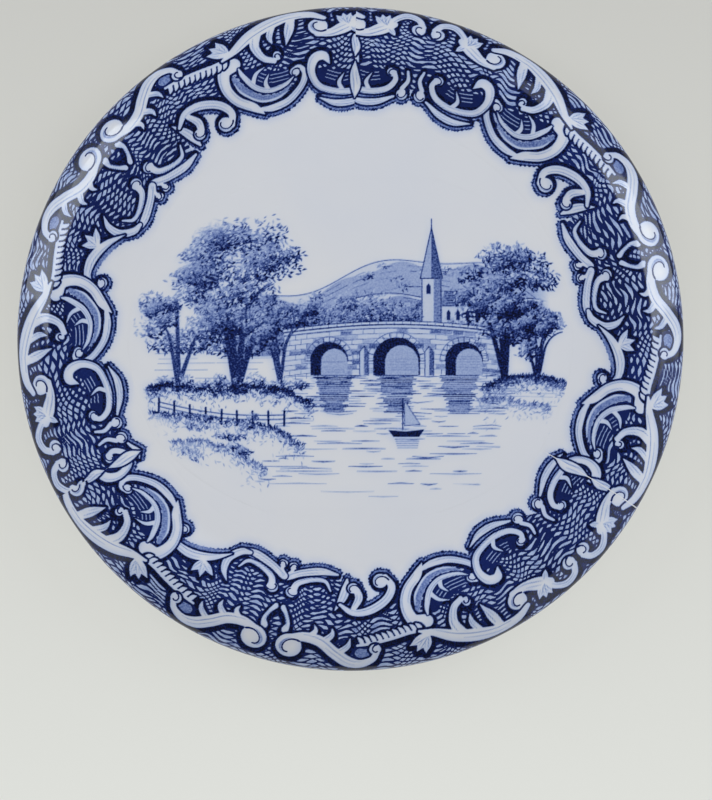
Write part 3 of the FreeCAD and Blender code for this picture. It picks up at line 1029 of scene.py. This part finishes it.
def bank(pen, rng, corners, count, tone):
    """Rough grass on sloping ground: short upright touches, thick along its upper edge."""
    corners = np.array(corners, float)
    pick = rng.integers(0, len(corners) - 1, count)
    share = rng.uniform(0, 1, count)
    edge = corners[pick] + (corners[pick + 1] - corners[pick]) * share[:, None]
    drop = rng.exponential(1.3, count)
    places = np.column_stack([edge[:, 0] + rng.normal(0, .3, count), edge[:, 1] - drop])
    tones = np.clip(tone * np.exp(-drop * .22) + rng.normal(0, .12, count), .14, 1)
    order = np.argsort(-drop)
    dabs(pen, rng, places[order], .7, tones[order], math.pi / 2, .35)


def boat(pen, x, y):
    """A small boat with a mast and a sail, over the broken lines of its reflection."""
    sail = [(x + 3.8, y + .9), (x + 7.4, y + 1.2), (x + 3.8, y + 6.8)]
    pen.fill([(x, y), (x + 8.4, y + .1), (x + 7.2, y - 1.7), (x + 1.3, y - 1.7)], .8, .9)
    pen.rule([(x - .2, y + .1), (x + 4, y - .25), (x + 8.6, y + .25)], .18, .06, 0)
    pen.rule([(x + 3.4, y), (x + 3.4, y + 7.2)], .13, .85)
    pen.fill(sail, 0, .22)
    pen.rule([*sail, sail[0]], .1, .7)
    for drop in np.arange(2.2, 4.6, .5):
        pen.rule([(x + 1 + drop * .3, y - drop), (x + 7.6 - drop * .2, y - drop)], .12, .75 - .1 * drop)


def fence(pen, rng, start, stop, sag, posts):
    """Posts and two rails along the bank."""
    spots, last = [], posts - 1
    for post in range(posts):
        dip = sag * math.sin(math.pi * post / last)
        spots.append((start[0] + (stop[0] - start[0]) * post / last,
                      start[1] + (stop[1] - start[1]) * post / last - dip))
    for lift in (1.1, 2.1):
        pen.rule([(x, y + lift) for x, y in spots], .13, .72)
    for x, y in spots:
        pen.rule([(x, y - .3), (x + rng.normal(0, .1), y + 3.0)], .24, .9)


def meadow(pen, rng, low, high, tone, slope):
    """Open ground: broken lines that lie along its slope, closer towards the back."""
    y = high[1]
    while y > low[1]:
        hatch(pen, rng, (low[0], y), (high[0], y + .01), 1.0, tone * rng.uniform(.7, 1.1), slope, .08, .4)
        y -= rng.uniform(.7, 1.3) * (1 + (high[1] - y) * .06)


def paint_woods(pen, rng):
    """The woods beyond the bridge: a far row, and a near one that stays low before the church."""
    for x in np.arange(-24, 13, 1.7):
        y = 8.4 + 1.8 * math.sin(x * .23 + 1) + rng.normal(0, .6)
        reach = rng.uniform(2.0, 3.2), rng.uniform(1.8, 3.0)
        crown(pen, rng, (x, y), reach, 80, .6, rng.uniform(.7, .95))
    for x in np.arange(-30, 47, 1.8):
        y = 4.4 + 1.4 * math.sin(x * .35) + rng.normal(0, .5)
        if 14.0 < x < 31.5:
            reach = rng.uniform(1.8, 2.6), rng.uniform(1.0, 1.5)
            crown(pen, rng, (x, y - .5), reach, 50, .6, .9)
        else:
            reach = rng.uniform(2.0, 3.4), rng.uniform(2.2, 3.8)
            crown(pen, rng, (x, y + 1.6), reach, 100, .62, rng.uniform(.9, 1.1))


def paint_vignette(film, rng):
    """A river landscape: hills and a church, a stone bridge, and trees on both banks."""
    pen = Pen(film)
    hills(pen, rng)
    church(pen, rng, 20.5, 5.0)
    paint_woods(pen, rng)
    meadow(pen, rng, (-46, -9), (-14, 3.5), .4, .01)
    for x in np.arange(-46, -16, 1.7):
        middle = x, 1.2 + rng.normal(0, .6)
        crown(pen, rng, middle, (rng.uniform(2.0, 3.0), rng.uniform(2.2, 3.6)), 90, .65, 1.0)
    bridge(pen, rng, -16.0, 36.0, 3.0, 1.9)
    water(pen, rng)
    meadow(pen, rng, (34, -14), (47, -8.0), .4, -.02)
    tree(pen, rng, (35.0, -7.5), 33, 13.5, 30, 150, 1.15, .8)
    tree(pen, rng, (42.5, -8.5), 21, 8, 12, 120, 1.1, .7)
    bank(pen, rng, [(30, -9.5), (36, -7.4), (43, -6.8), (49, -8.6)], 720, .9)
    bank(pen, rng, [(29, -12.5), (34, -12.0), (40, -13.2), (46, -14.0)], 300, .6)
    tree(pen, rng, (-40.5, -9.0), 29, 12, 14, 130, .9, .8)
    tree(pen, rng, (-27.0, -10.5), 42, 19, 38, 150, 1.0, .85)
    tree(pen, rng, (-17.0, -8.5), 21, 10, 10, 120, .95, .75)
    for x in np.arange(-44, -12, 2.6):
        middle = x, -9.0 + rng.normal(0, .7)
        crown(pen, rng, middle, (rng.uniform(1.6, 3.0), rng.uniform(1.0, 1.7)), 70, .65, 1.0, .6)
    bank(pen, rng, [(-48, -10), (-43, -8.8), (-33, -10.4), (-24, -9.2), (-16, -10.2), (-9, -13.5)], 1000, 1.0)
    fence(pen, rng, (-45, -15.2), (-16, -18.2), 1.2, 9)
    bank(pen, rng, [(-47, -15.4), (-38, -16.2), (-27, -17.4), (-18, -19), (-12, -23)], 800, .8)
    bank(pen, rng, [(-42, -22), (-34, -22), (-26, -25), (-20, -29)], 420, .6)
    boat(pen, 8.0, -19.5)
    for _ in range(14):
        middle = rng.uniform(-42, -22), rng.uniform(-26, -16)
        crown(pen, rng, middle, (rng.uniform(1.2, 2.6), rng.uniform(.7, 1.2)), 40, .6, .9, .6)
    uneven = Drift(rng, 9)
    x, y = pen.everywhere()
    out = np.hypot(x / VIGNETTE_REACH[0], (y + .5) / VIGNETTE_REACH[1]) + .03 * uneven(x, y)
    film.keep(np.clip((1.0 - out) / .05, 0, 1))


# --- films ----------------------------------------------------------------------------------------

# Millimetres: how far a film stands over the glaze, and how far its underside lies in it.
FILM_LIFT, FILM_DEPTH = 0.025, 0.14
# Along the section, in millimetres: where the border's rows of points start and stop, and how many there are.
BORDER_ROWS = 50.3, 82.9, 150
BORDER_COLUMNS = 650
BORDER_WELL_EDGE = 51.2     # the vignette's film sinks from here outwards
# The vignette's film is part of an oval: its rows, its columns and the half axes of the oval.
VIGNETTE_ROWS = -40.0, 40.0, 381
VIGNETTE_COLUMNS = 500
VIGNETTE_OVAL = 54.4, 41.5
SHARP_ANGLE = 50


def bleed(ink, reach=5):
    """The ink spread out over a few points each way, as cobalt runs in the glaze."""
    for _ in range(2):
        for axis in (0, 1):
            padded = np.concatenate([ink.take([0] * reach, axis), ink, ink.take([-1] * reach, axis)], axis)
            total, size = np.cumsum(padded, axis=axis), ink.shape[axis]
            ahead = total.take(range(2 * reach, 2 * reach + size), axis)
            behind = total.take(range(size), axis)
            ink = (ahead - behind) / (2 * reach)
    return ink


def film_lift(shape, sunk, reach, depth):
    """How far each point of a film stands over the glaze: it sinks in along the named edges."""
    rows, cols = np.indices(shape)
    gaps = {"first": rows, "last": shape[0] - 1 - rows, "left": cols, "right": shape[1] - 1 - cols}
    share = np.clip(np.min([gaps[edge] for edge in sunk], axis=0) / reach, 0, 1)
    return (FILM_LIFT + depth) * share - depth


def film_mesh(name, top, under, layers, material, skip=8):
    """A thin closed film: a fine printed top, a coarse underside, and walls that join them."""
    rows, cols = top.shape[:2]
    keep_rows = [*range(0, rows - 1, skip), rows - 1]
    keep_cols = [*range(0, cols - 1, skip), cols - 1]
    upper = np.arange(rows * cols).reshape(rows, cols)
    lower = rows * cols + np.arange(len(keep_rows) * len(keep_cols)).reshape(len(keep_rows), len(keep_cols))
    points = np.vstack([top.reshape(-1, 3), under[np.ix_(keep_rows, keep_cols)].reshape(-1, 3)])

    def quads(grid, flip):
        """The faces of a grid, turned over where flipped."""
        corners = [grid[:-1, :-1], grid[:-1, 1:], grid[1:, 1:], grid[1:, :-1]]
        return np.stack(corners[::-1] if flip else corners, -1).reshape(-1, 4).tolist()

    faces = quads(upper, False) + quads(lower, True)
    edges = ((upper[0], lower[0], keep_cols, False), (upper[-1], lower[-1], keep_cols, True),
             (upper[:, 0], lower[:, 0], keep_rows, True), (upper[:, -1], lower[:, -1], keep_rows, False))
    for edge, base, keep, flip in edges:
        for index, (first, last) in enumerate(zip(keep, keep[1:])):
            wall = [int(base[index]), int(base[index + 1])] + [int(v) for v in edge[first:last + 1][::-1]]
            faces.append(wall[::-1] if flip else wall)
    mesh = bpy.data.meshes.new(name)
    mesh.from_pydata((points * MM).tolist(), [], faces)
    mesh.materials.append(material)
    for layer, values in layers.items():
        attribute = mesh.attributes.new(layer, "FLOAT", "POINT")
        spare = np.zeros(len(points) - rows * cols)
        attribute.data.foreach_set("value", np.concatenate([values.ravel(), spare]).astype(np.float32))
    mesh.shade_smooth()
    mesh.set_sharp_from_angle(angle=math.radians(SHARP_ANGLE))
    piece = bpy.data.objects.new(name, mesh)
    bpy.context.scene.collection.objects.link(piece)
    return piece


def ink_layers(film):
    """A film's ink, by the names that its finish reads."""
    return {"line": film.line, "tone": film.tone, "bleed": bleed(np.maximum(film.line, film.tone))}


def border_film(name, start, spread, axis, mirrored, form, material, rng):
    """A strip of border print laid over the section from the well to under the widest circle."""
    points, normals = section(form)
    travel = np.concatenate([[0], np.cumsum(np.hypot(*np.diff(points, axis=0).T))])
    rows = np.linspace(*BORDER_ROWS)
    cols = np.radians(np.linspace(start, start + spread, BORDER_COLUMNS))
    film = Film(rows, cols)
    paint_border(film, rng, axis, mirrored)
    radius, height, out_r, out_z = (np.interp(rows, travel, column) for column in (*points.T, *normals.T))
    lift = film_lift(film.line.shape, ("first", "last"), 6, 0.04)

    def surface(offset):
        """The film's points at a distance from the glaze."""
        r, z = radius[:, None] + out_r[:, None] * offset, height[:, None] + out_z[:, None] * offset
        return np.stack([r * np.cos(cols), r * np.sin(cols), np.broadcast_to(z, r.shape)], -1)

    top, under = surface(lift)[:, ::-1], surface(lift * 0 - FILM_DEPTH)[:, ::-1]
    layers = {layer: values[:, ::-1] for layer, values in ink_layers(film).items()}
    return film_mesh(name, top, under, layers, material)


def vignette_films(form, material, rng):
    """The landscape in two films, above and below a line across the well."""
    low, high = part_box("centre_print")
    centre_x, centre_y = (low.x + high.x) / 2 / MM, (low.y + high.y) / 2 / MM
    height = (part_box("face_glaze")[1].z - form.well_depth) / MM
    rows, cols = np.linspace(*VIGNETTE_ROWS), np.linspace(-1, 1, VIGNETTE_COLUMNS)
    width = VIGNETTE_OVAL[0] * np.sqrt(1 - (rows / VIGNETTE_OVAL[1]) ** 2)
    film = Film(rows, cols, width)
    paint_vignette(film, rng)
    layers = ink_layers(film)
    x, y = centre_x + width[:, None] * cols, np.broadcast_to(centre_y + rows[:, None], film.line.shape)
    under_border = np.clip(np.hypot(x, y) - BORDER_WELL_EDGE, 0, 1)
    lift = film_lift(film.line.shape, ("first", "last", "left", "right"), 9, 0.015)
    lift = lift + (-0.06 - lift) * under_border
    top = np.stack([x, y, height + lift], -1)
    under = np.stack([x, y, np.full(x.shape, height - FILM_DEPTH)], -1)
    middle = len(rows) // 2
    films = []
    for name, part in (("centre_film_lower", slice(0, middle + 1)),
                       ("centre_film_upper", slice(middle, None))):
        inks = {layer: values[part] for layer, values in layers.items()}
        films.append(film_mesh(name, top[part], under[part], inks, material))
    return films


# --- finishes -------------------------------------------------------------------------------------

def new_finish(name):
    """An empty material and its tree."""
    material = bpy.data.materials.new(name)
    material.use_nodes = True
    material.node_tree.nodes.clear()
    return material, Tree(material.node_tree)


def noise(tree, place, scale, detail, roughness=0.5):
    """Noise from 0 to 1 with features of about one over scale, in metres."""
    return tree.node("ShaderNodeTexNoise", {"noise_dimensions": "3D"}, Vector=place, Scale=scale,
                     Detail=detail, Roughness=roughness)


def step_up(value, low, high):
    """0 below low, 1 above high, and a straight rise between."""
    return ((value - low) / (high - low)).math("ADD", 0.0, clamp=True)


def mix(tree, share, first, second):
    """A share of the second colour in the first."""
    return tree.node("ShaderNodeMix", {"data_type": "RGBA"}, output=2, Factor=share, A=first, B=second)


def rgba(colour):
    """A solid colour with its alpha."""
    return (*colour, 1.0)


def specks(tree, place, scale, radius, share):
    """Iron specks and pinholes: a small spot in some of the cells."""
    cell = tree.node("ShaderNodeTexVoronoi", {"voronoi_dimensions": "3D"}, output="Distance", Vector=place,
                     Scale=scale)
    pick = tree.node("ShaderNodeSeparateColor", output="Red", Color=cell.out("Color"))
    size = pick.math("SUBTRACT", 1.0 - share, clamp=True) * (radius * scale / share)
    return step_up(size - cell, -0.1 * radius * scale, 0.1 * radius * scale)


def glazed_surface(tree, place, colour, gloss):
    """The glaze over whatever colour: pits, orange peel and gloss."""
    pits = specks(tree, place, 95.0, 0.42 * MM, 0.16)
    spotted = mix(tree, pits * 0.75, colour, (0.05, 0.05, 0.06, 1.0))
    peel = noise(tree, place, 190.0, 2.0) + noise(tree, place, 40.0, 1.0) * 1.5 - pits * 1.5
    normal = tree.node("ShaderNodeBump", output="Normal", Strength=0.12, Distance=0.05 * MM, Height=peel)
    patches = noise(tree, place, 60.0, 3.0)
    return tree.node("ShaderNodeBsdfPrincipled", output="BSDF", Base_Color=spotted,
                     Roughness=patches * 0.05 + (gloss - 0.025), IOR=1.5, Normal=normal)


def clouding(tree, place):
    """The faint share of blue that has drifted through the glaze."""
    return step_up(noise(tree, place, 30.0, 3.0), 0.35, 0.75) * 0.12


def white_glaze(finish):
    """Clear glaze over the fired body."""
    material, tree = new_finish("white_glaze")
    place = tree.node("ShaderNodeTexCoord", output="Object")
    colour = mix(tree, clouding(tree, place), rgba(finish.glaze_white), rgba(finish.bleed_blue))
    tree.node("ShaderNodeOutputMaterial", Surface=glazed_surface(tree, place, colour, finish.gloss))
    return material


def cobalt_print(finish):
    """Cobalt ink under the glaze: engraved line and stippled tone, with a little bleed beside heavy ink."""
    material, tree = new_finish("cobalt_print")
    place = tree.node("ShaderNodeTexCoord", output="Object")

    def ink(layer):
        """A layer of the film's ink."""
        return tree.node("ShaderNodeAttribute", {"attribute_name": layer}, output="Fac")

    grain = noise(tree, place, 2600.0, 2.0)
    line = step_up(ink("line") + (grain - 0.5) * 0.25, 0.36, 0.64)
    stipple = noise(tree, place, 2300.0, 1.0)
    tone = ink("tone") * (stipple * 0.9 + 0.55)
    drift = noise(tree, place, 55.0, 2.0)
    uneven = step_up(drift, 0.3, 0.7) * 0.1 + 0.9 + (grain - 0.5) * 0.16
    heavy = (line * 0.84).math("MAXIMUM", tone) * uneven
    ramp = tree.node("ShaderNodeValToRGB", {"stops": (
        (0.0, finish.glaze_white), (0.16, finish.ink_pale), (0.36, finish.ink_light), (0.55, finish.ink_mid),
        (0.76, finish.ink_deep), (0.96, finish.ink_dark))}, output="Color", Fac=heavy)
    haze = (ink("bleed") + clouding(tree, place)) * (1 - heavy * 1.5).math("MAXIMUM", 0.0)
    colour = mix(tree, haze.math("ADD", 0.0, clamp=True), ramp, rgba(finish.bleed_blue))
    tree.node("ShaderNodeOutputMaterial", Surface=glazed_surface(tree, place, colour, finish.gloss))
    return material


def fired_biscuit(finish):
    """The bare clay of the ground foot, a little stained."""
    material, tree = new_finish("fired_biscuit")
    place = tree.node("ShaderNodeTexCoord", output="Object")
    grit = noise(tree, place, 900.0, 4.0, 0.65)
    stain = noise(tree, place, 120.0, 3.0)
    dark = tuple(c * s for c, s in zip(finish.biscuit, (0.62, 0.56, 0.48)))
    colour = mix(tree, step_up(stain + (grit - 0.5) * 0.5, 0.42, 0.8), rgba(finish.biscuit), rgba(dark))
    normal = tree.node("ShaderNodeBump", output="Normal", Strength=0.5, Distance=0.08 * MM, Height=grit)
    tree.node("ShaderNodeOutputMaterial", Surface=tree.node(
        "ShaderNodeBsdfPrincipled", output="BSDF", Base_Color=colour, Roughness=grit * 0.2 + 0.62, IOR=1.5,
        Normal=normal))
    return material


def stage_floor(stage):
    """A plain pale sweep of matt paper, with painted light: its colour is a little brighter towards the near
    side.
    """
    material, tree = new_finish("stage_floor")
    place = tree.node("ShaderNodeTexCoord", output="Object")
    depth = tree.node("ShaderNodeSeparateXYZ", output="Y", Vector=place)
    # Painted light: the paper's colour brightens from the far side to the near side.
    colour = mix(tree, step_up(depth, -0.11, 0.08), rgba(stage.floor_near_painted_bright), rgba(stage.floor_far_painted_dim))
    paper = tree.node("ShaderNodeBsdfPrincipled", output="BSDF", Base_Color=colour, Roughness=0.9, IOR=1.4)
    shown = tree.node("ShaderNodeEmission", Color=colour, Strength=1.0)
    ray = tree.node("ShaderNodeLightPath", output="Is Camera Ray")
    seen = ray.math("MAXIMUM", ray.out("Is Glossy Ray")).math("MAXIMUM", ray.out("Is Transmission Ray"))
    tree.node("ShaderNodeOutputMaterial", Surface=tree.node(
        "ShaderNodeMixShader", i0=seen * stage.floor_glow, i1=paper, i2=shown))
    return material


def finish_named(name, maker, values):
    """One material of each kind, however many operators use it."""
    return bpy.data.materials.get(name) or maker(values)


# --- the stage ------------------------------------------------------------------------------------

FLOOR_REACH, FLOOR_DROP = 4, 0.00005
SKY, WARM = (0.88, 0.94, 1.0), (1.0, 0.95, 0.88)


def area_light(name, azimuth, elevation, distance, size, glow, colour, mirrored=True):
    """A softbox aimed at the plate. glow is its brightness; it may be kept out of the glaze's reflections."""
    data = bpy.data.lights.new(name, "AREA")
    data.shape, data.size, data.size_y = "RECTANGLE", size[0], size[1]
    data.energy = glow * math.pi * size[0] * size[1]
    data.color = colour
    lamp = bpy.data.objects.new(name, data)
    az, el = math.radians(azimuth), math.radians(elevation)
    away = Vector((math.cos(az) * math.cos(el), math.sin(az) * math.cos(el), math.sin(el)))
    lamp.location = away * distance
    lamp.rotation_euler = (-away).to_track_quat("-Z", "Y").to_euler()
    lamp.visible_glossy = mirrored
    bpy.context.scene.collection.objects.link(lamp)


def lay_floor(stage):
    """A wide floor just under the standing edge."""
    mesh = bpy.data.meshes.new("floor")
    corners = [(-FLOOR_REACH, -FLOOR_REACH), (FLOOR_REACH, -FLOOR_REACH), (FLOOR_REACH, FLOOR_REACH),
               (-FLOOR_REACH, FLOOR_REACH)]
    mesh.from_pydata([(x, y, -FLOOR_DROP) for x, y in corners], [], [(0, 1, 2, 3)])
    mesh.materials.append(stage_floor(stage))
    floor = bpy.data.objects.new("floor", mesh)
    bpy.context.scene.collection.objects.link(floor)


def set_lights():
    """Softboxes and a window that the rim mirrors, the room's walls, and soft light that it doesn't."""
    area_light("left_softbox", 152, 26, 1.1, (0.7, 0.8), 4.2, SKY)
    area_light("right_softbox", 22, 26, 1.1, (0.5, 0.8), 3.4, SKY)
    area_light("right_window", 28, 28, 1.3, (1.4, 1.0), 1.3, SKY)
    area_light("left_wall", 195, 14, 1.4, (1.4, 0.6), 0.75, SKY)
    area_light("right_wall", 335, 14, 1.4, (1.6, 0.6), 0.9, SKY)
    area_light("ceiling", 90, 90, 1.5, (2.0, 2.0), 0.9, WARM, mirrored=False)
    area_light("front_fill", 270, 45, 1.4, (1.2, 1.2), 0.65, SKY, mirrored=False)
    area_light("front_low", 270, 9, 1.4, (1.4, 0.36), 1.3, SKY, mirrored=False)
    world = bpy.data.worlds.new("studio")
    world.use_nodes = True
    world.node_tree.nodes.clear()
    tree = Tree(world.node_tree)
    tree.node("ShaderNodeOutputWorld", Surface=tree.node(
        "ShaderNodeBackground", output="Background", Color=(0.9, 0.95, 1.0, 1.0), Strength=0.1))
    bpy.context.scene.world = world


def set_camera(stage):
    """A camera almost straight above, from which the plate fills its share of the picture's width."""
    low, high = cad_box
    middle = Vector(((low.x + high.x) / 2, (low.y + high.y) / 2, high.z))
    target = middle + Vector((stage.aim[0], stage.aim[1], 0.0))
    back = Vector((0.0, -math.cos(stage.camera_height), math.sin(stage.camera_height)))
    data = bpy.data.cameras.new("camera")
    data.sensor_width = SENSOR_WIDTH
    long_side = (high.x - low.x) / stage.plate_share * VIEW_HEIGHT / VIEW_WIDTH
    data.lens = SENSOR_WIDTH * stage.camera_distance / long_side
    camera = bpy.data.objects.new("camera", data)
    camera.location = target + back * stage.camera_distance
    camera.rotation_euler = (-back).to_track_quat("-Z", "Y").to_euler()
    bpy.context.scene.collection.objects.link(camera)
    bpy.context.scene.camera = camera


# --- operators ------------------------------------------------------------------------------------

BORDER_SEED, VIGNETTE_SEED = 41, 7


def settle(piece, slot, *nodes):
    """A finished piece rides on the plate's body and stands for its CAD nodes."""
    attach(piece, BODY)
    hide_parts(*nodes)


class PLATE_OT_body(bpy.types.Operator):
    """Turn the fired body and its two coats of glaze, over the face and in the recess"""
    bl_idname = "plate.turn_body"
    bl_label = "Turn body and glaze"

    def execute(self, context):
        form, finish = context.scene.plate_form, context.scene.plate_finish
        skin, edge, recess = cut_at_bare_edge(section(form)[0], form)
        core_skin, _, core_recess = cut_at_bare_edge(section(form, form.glaze_thickness / MM)[0], form)
        clay = finish_named("fired_biscuit", fired_biscuit, finish)
        glaze = finish_named("white_glaze", white_glaze, finish)
        pieces = (
            ("fired_body", (core_skin, edge, core_recess), clay, "biscuit", "biscuit_body"),
            ("face_glaze_coat", (skin, core_skin[::-1]), glaze, "clear_glaze", "face_glaze"),
            ("recess_glaze_coat", (recess, core_recess[::-1], recess[:1]), glaze, "clear_glaze",
             "back_glaze"))
        for name, runs, material, slot, node in pieces:
            settle(turn_solid(name, np.vstack(runs), form, material), slot, node)
        return {"FINISHED"}


class PLATE_OT_border(bpy.types.Operator):
    """Lay the three strips of the border print over the rim"""
    bl_idname = "plate.lay_border"
    bl_label = "Lay border print"

    def execute(self, context):
        form, finish = context.scene.plate_form, context.scene.plate_finish
        material = finish_named("cobalt_print", cobalt_print, finish)
        for index, (name, strip) in enumerate(STRIPS.items()):
            rng = np.random.default_rng(BORDER_SEED + index)
            piece = border_film(f"border_film_{name}", *strip, form, material, rng)
            settle(piece, "blue_print", f"border_print_{name}")
        return {"FINISHED"}


class PLATE_OT_vignette(bpy.types.Operator):
    """Lay the landscape print in the well"""
    bl_idname = "plate.lay_vignette"
    bl_label = "Lay centre print"

    def execute(self, context):
        form, finish = context.scene.plate_form, context.scene.plate_finish
        material = finish_named("cobalt_print", cobalt_print, finish)
        for piece in vignette_films(form, material, np.random.default_rng(VIGNETTE_SEED)):
            settle(piece, "blue_print", "centre_print")
        return {"FINISHED"}


class PLATE_OT_stage(bpy.types.Operator):
    """Set the floor, the lights and the camera"""
    bl_idname = "plate.set_stage"
    bl_label = "Set stage"

    def execute(self, context):
        stage = context.scene.plate_stage
        lay_floor(stage)
        set_lights()
        context.scene.view_settings.view_transform = "Standard"
        set_camera(stage)
        return {"FINISHED"}


class PLATE_PT_panel(bpy.types.Panel):
    """The plate's steps, in order"""
    bl_idname = "PLATE_PT_panel"
    bl_label = "Souvenir plate"
    bl_space_type = "VIEW_3D"
    bl_region_type = "UI"
    bl_category = "Plate"

    def draw(self, context):
        """The operators, then each group of properties in a box."""
        for operator in OPERATORS:
            self.layout.operator(operator.bl_idname)
        for group in ("plate_form", "plate_finish", "plate_stage"):
            values = getattr(context.scene, group)
            box = self.layout.box()
            for name in values.bl_rna.properties.keys():
                if name not in ("rna_type", "name"):
                    box.prop(values, name)


OPERATORS = (PLATE_OT_body, PLATE_OT_border, PLATE_OT_vignette, PLATE_OT_stage)
GROUPS = {"plate_form": PlateForm, "plate_finish": PlateFinish, "plate_stage": PlateStage}


def register():
    """Register the classes and hang the properties on the scene."""
    for kind in (*GROUPS.values(), *OPERATORS, PLATE_PT_panel):
        bpy.utils.register_class(kind)
    for name, kind in GROUPS.items():
        setattr(bpy.types.Scene, name, bpy.props.PointerProperty(type=kind))


def unregister():
    """Undo register."""
    for name in GROUPS:
        delattr(bpy.types.Scene, name)
    for kind in (PLATE_PT_panel, *OPERATORS, *GROUPS.values()):
        bpy.utils.unregister_class(kind)


def main():
    """Build the plate and its stage."""
    register()
    bpy.ops.plate.turn_body()
    bpy.ops.plate.lay_border()
    bpy.ops.plate.lay_vignette()
    bpy.ops.plate.set_stage()


if __name__ == "__main__":
    main()
